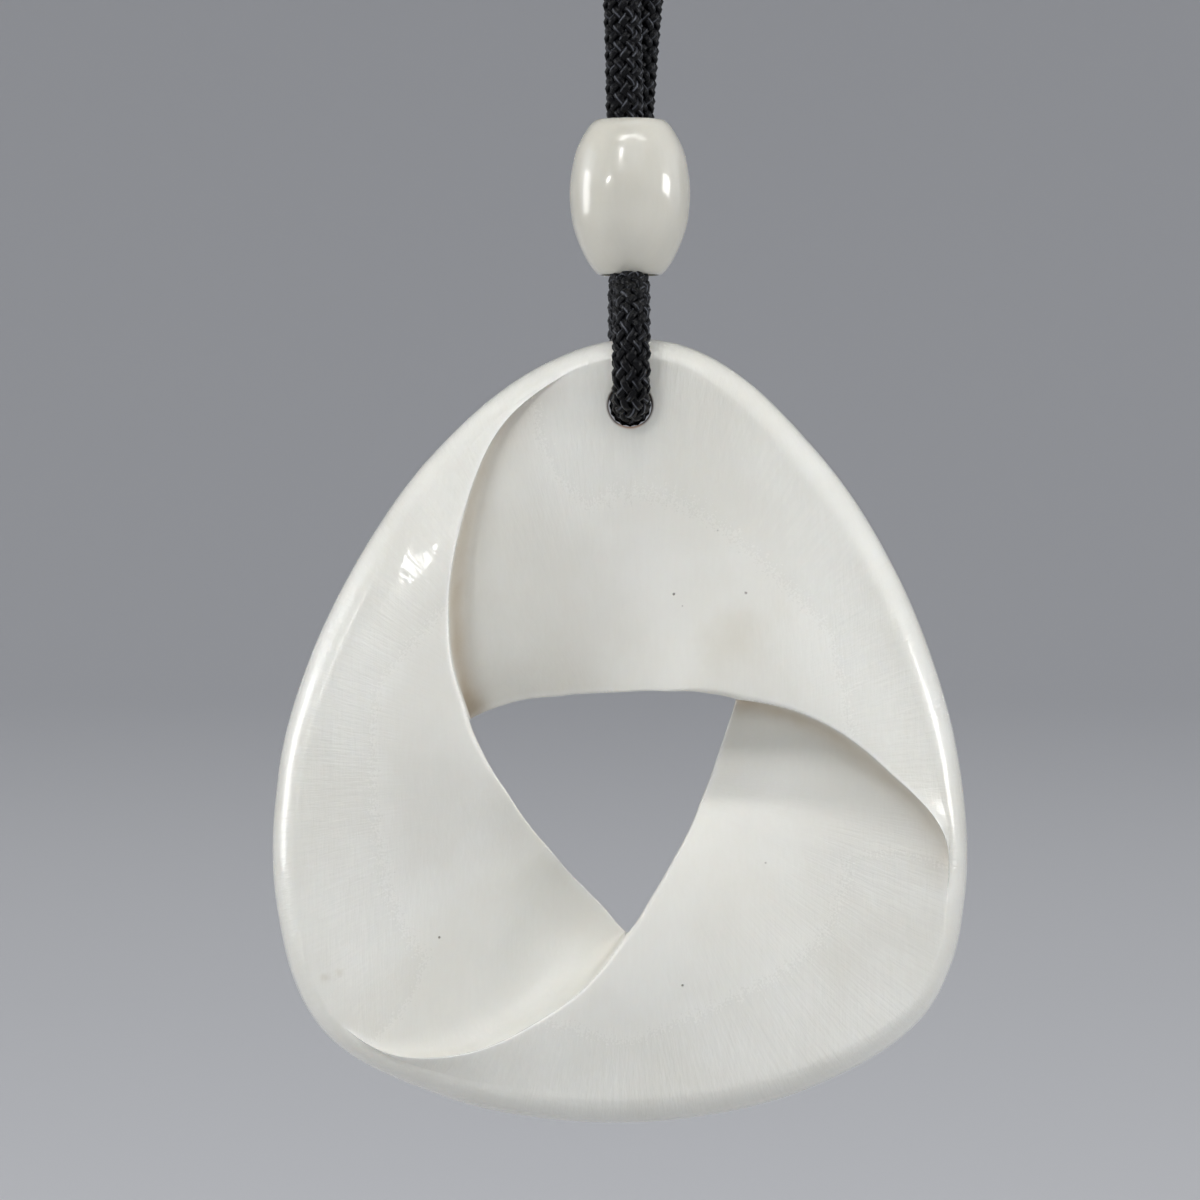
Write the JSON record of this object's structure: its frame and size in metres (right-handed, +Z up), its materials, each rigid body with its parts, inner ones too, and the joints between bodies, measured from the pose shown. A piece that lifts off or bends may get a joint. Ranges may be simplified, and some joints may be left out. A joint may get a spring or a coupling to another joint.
{
  "type": "bone twist pendant",
  "caption": "Polished bone pendant carved as a closed twist of overlapping blades, hanging with a barrel bead on a whole loop of black braided neck cord.",
  "frame": {"origin": "at the nape, on the side of the cord's closing knot that rests on the back of the neck", "axes": "+Z up, +Y away from the neck at the nape, so the pendant's front faces -Y; +X to the right as seen from the front"},
  "size_m": [0.127, 0.1398, 0.2793],
  "materials": {
    "bone": "polished cream-white bone with faint stains and small dark pores",
    "cord": "black braided cord, tight and slightly waxy"
  },
  "bodies": {
    "necklace": {"barrel_bead": "bone", "neck_cord": "cord", "nape_knot": "cord"},
    "pendant": {"twist_pendant": "bone"}
  },
  "joints": [
    {"name": "pendant_swing", "type": "hinge", "parent": "necklace", "child": "pendant", "pos_m": [0, -0.13, -0.24], "axis": [0, 1, 0], "range_deg": [-60, 60]}
  ]
}
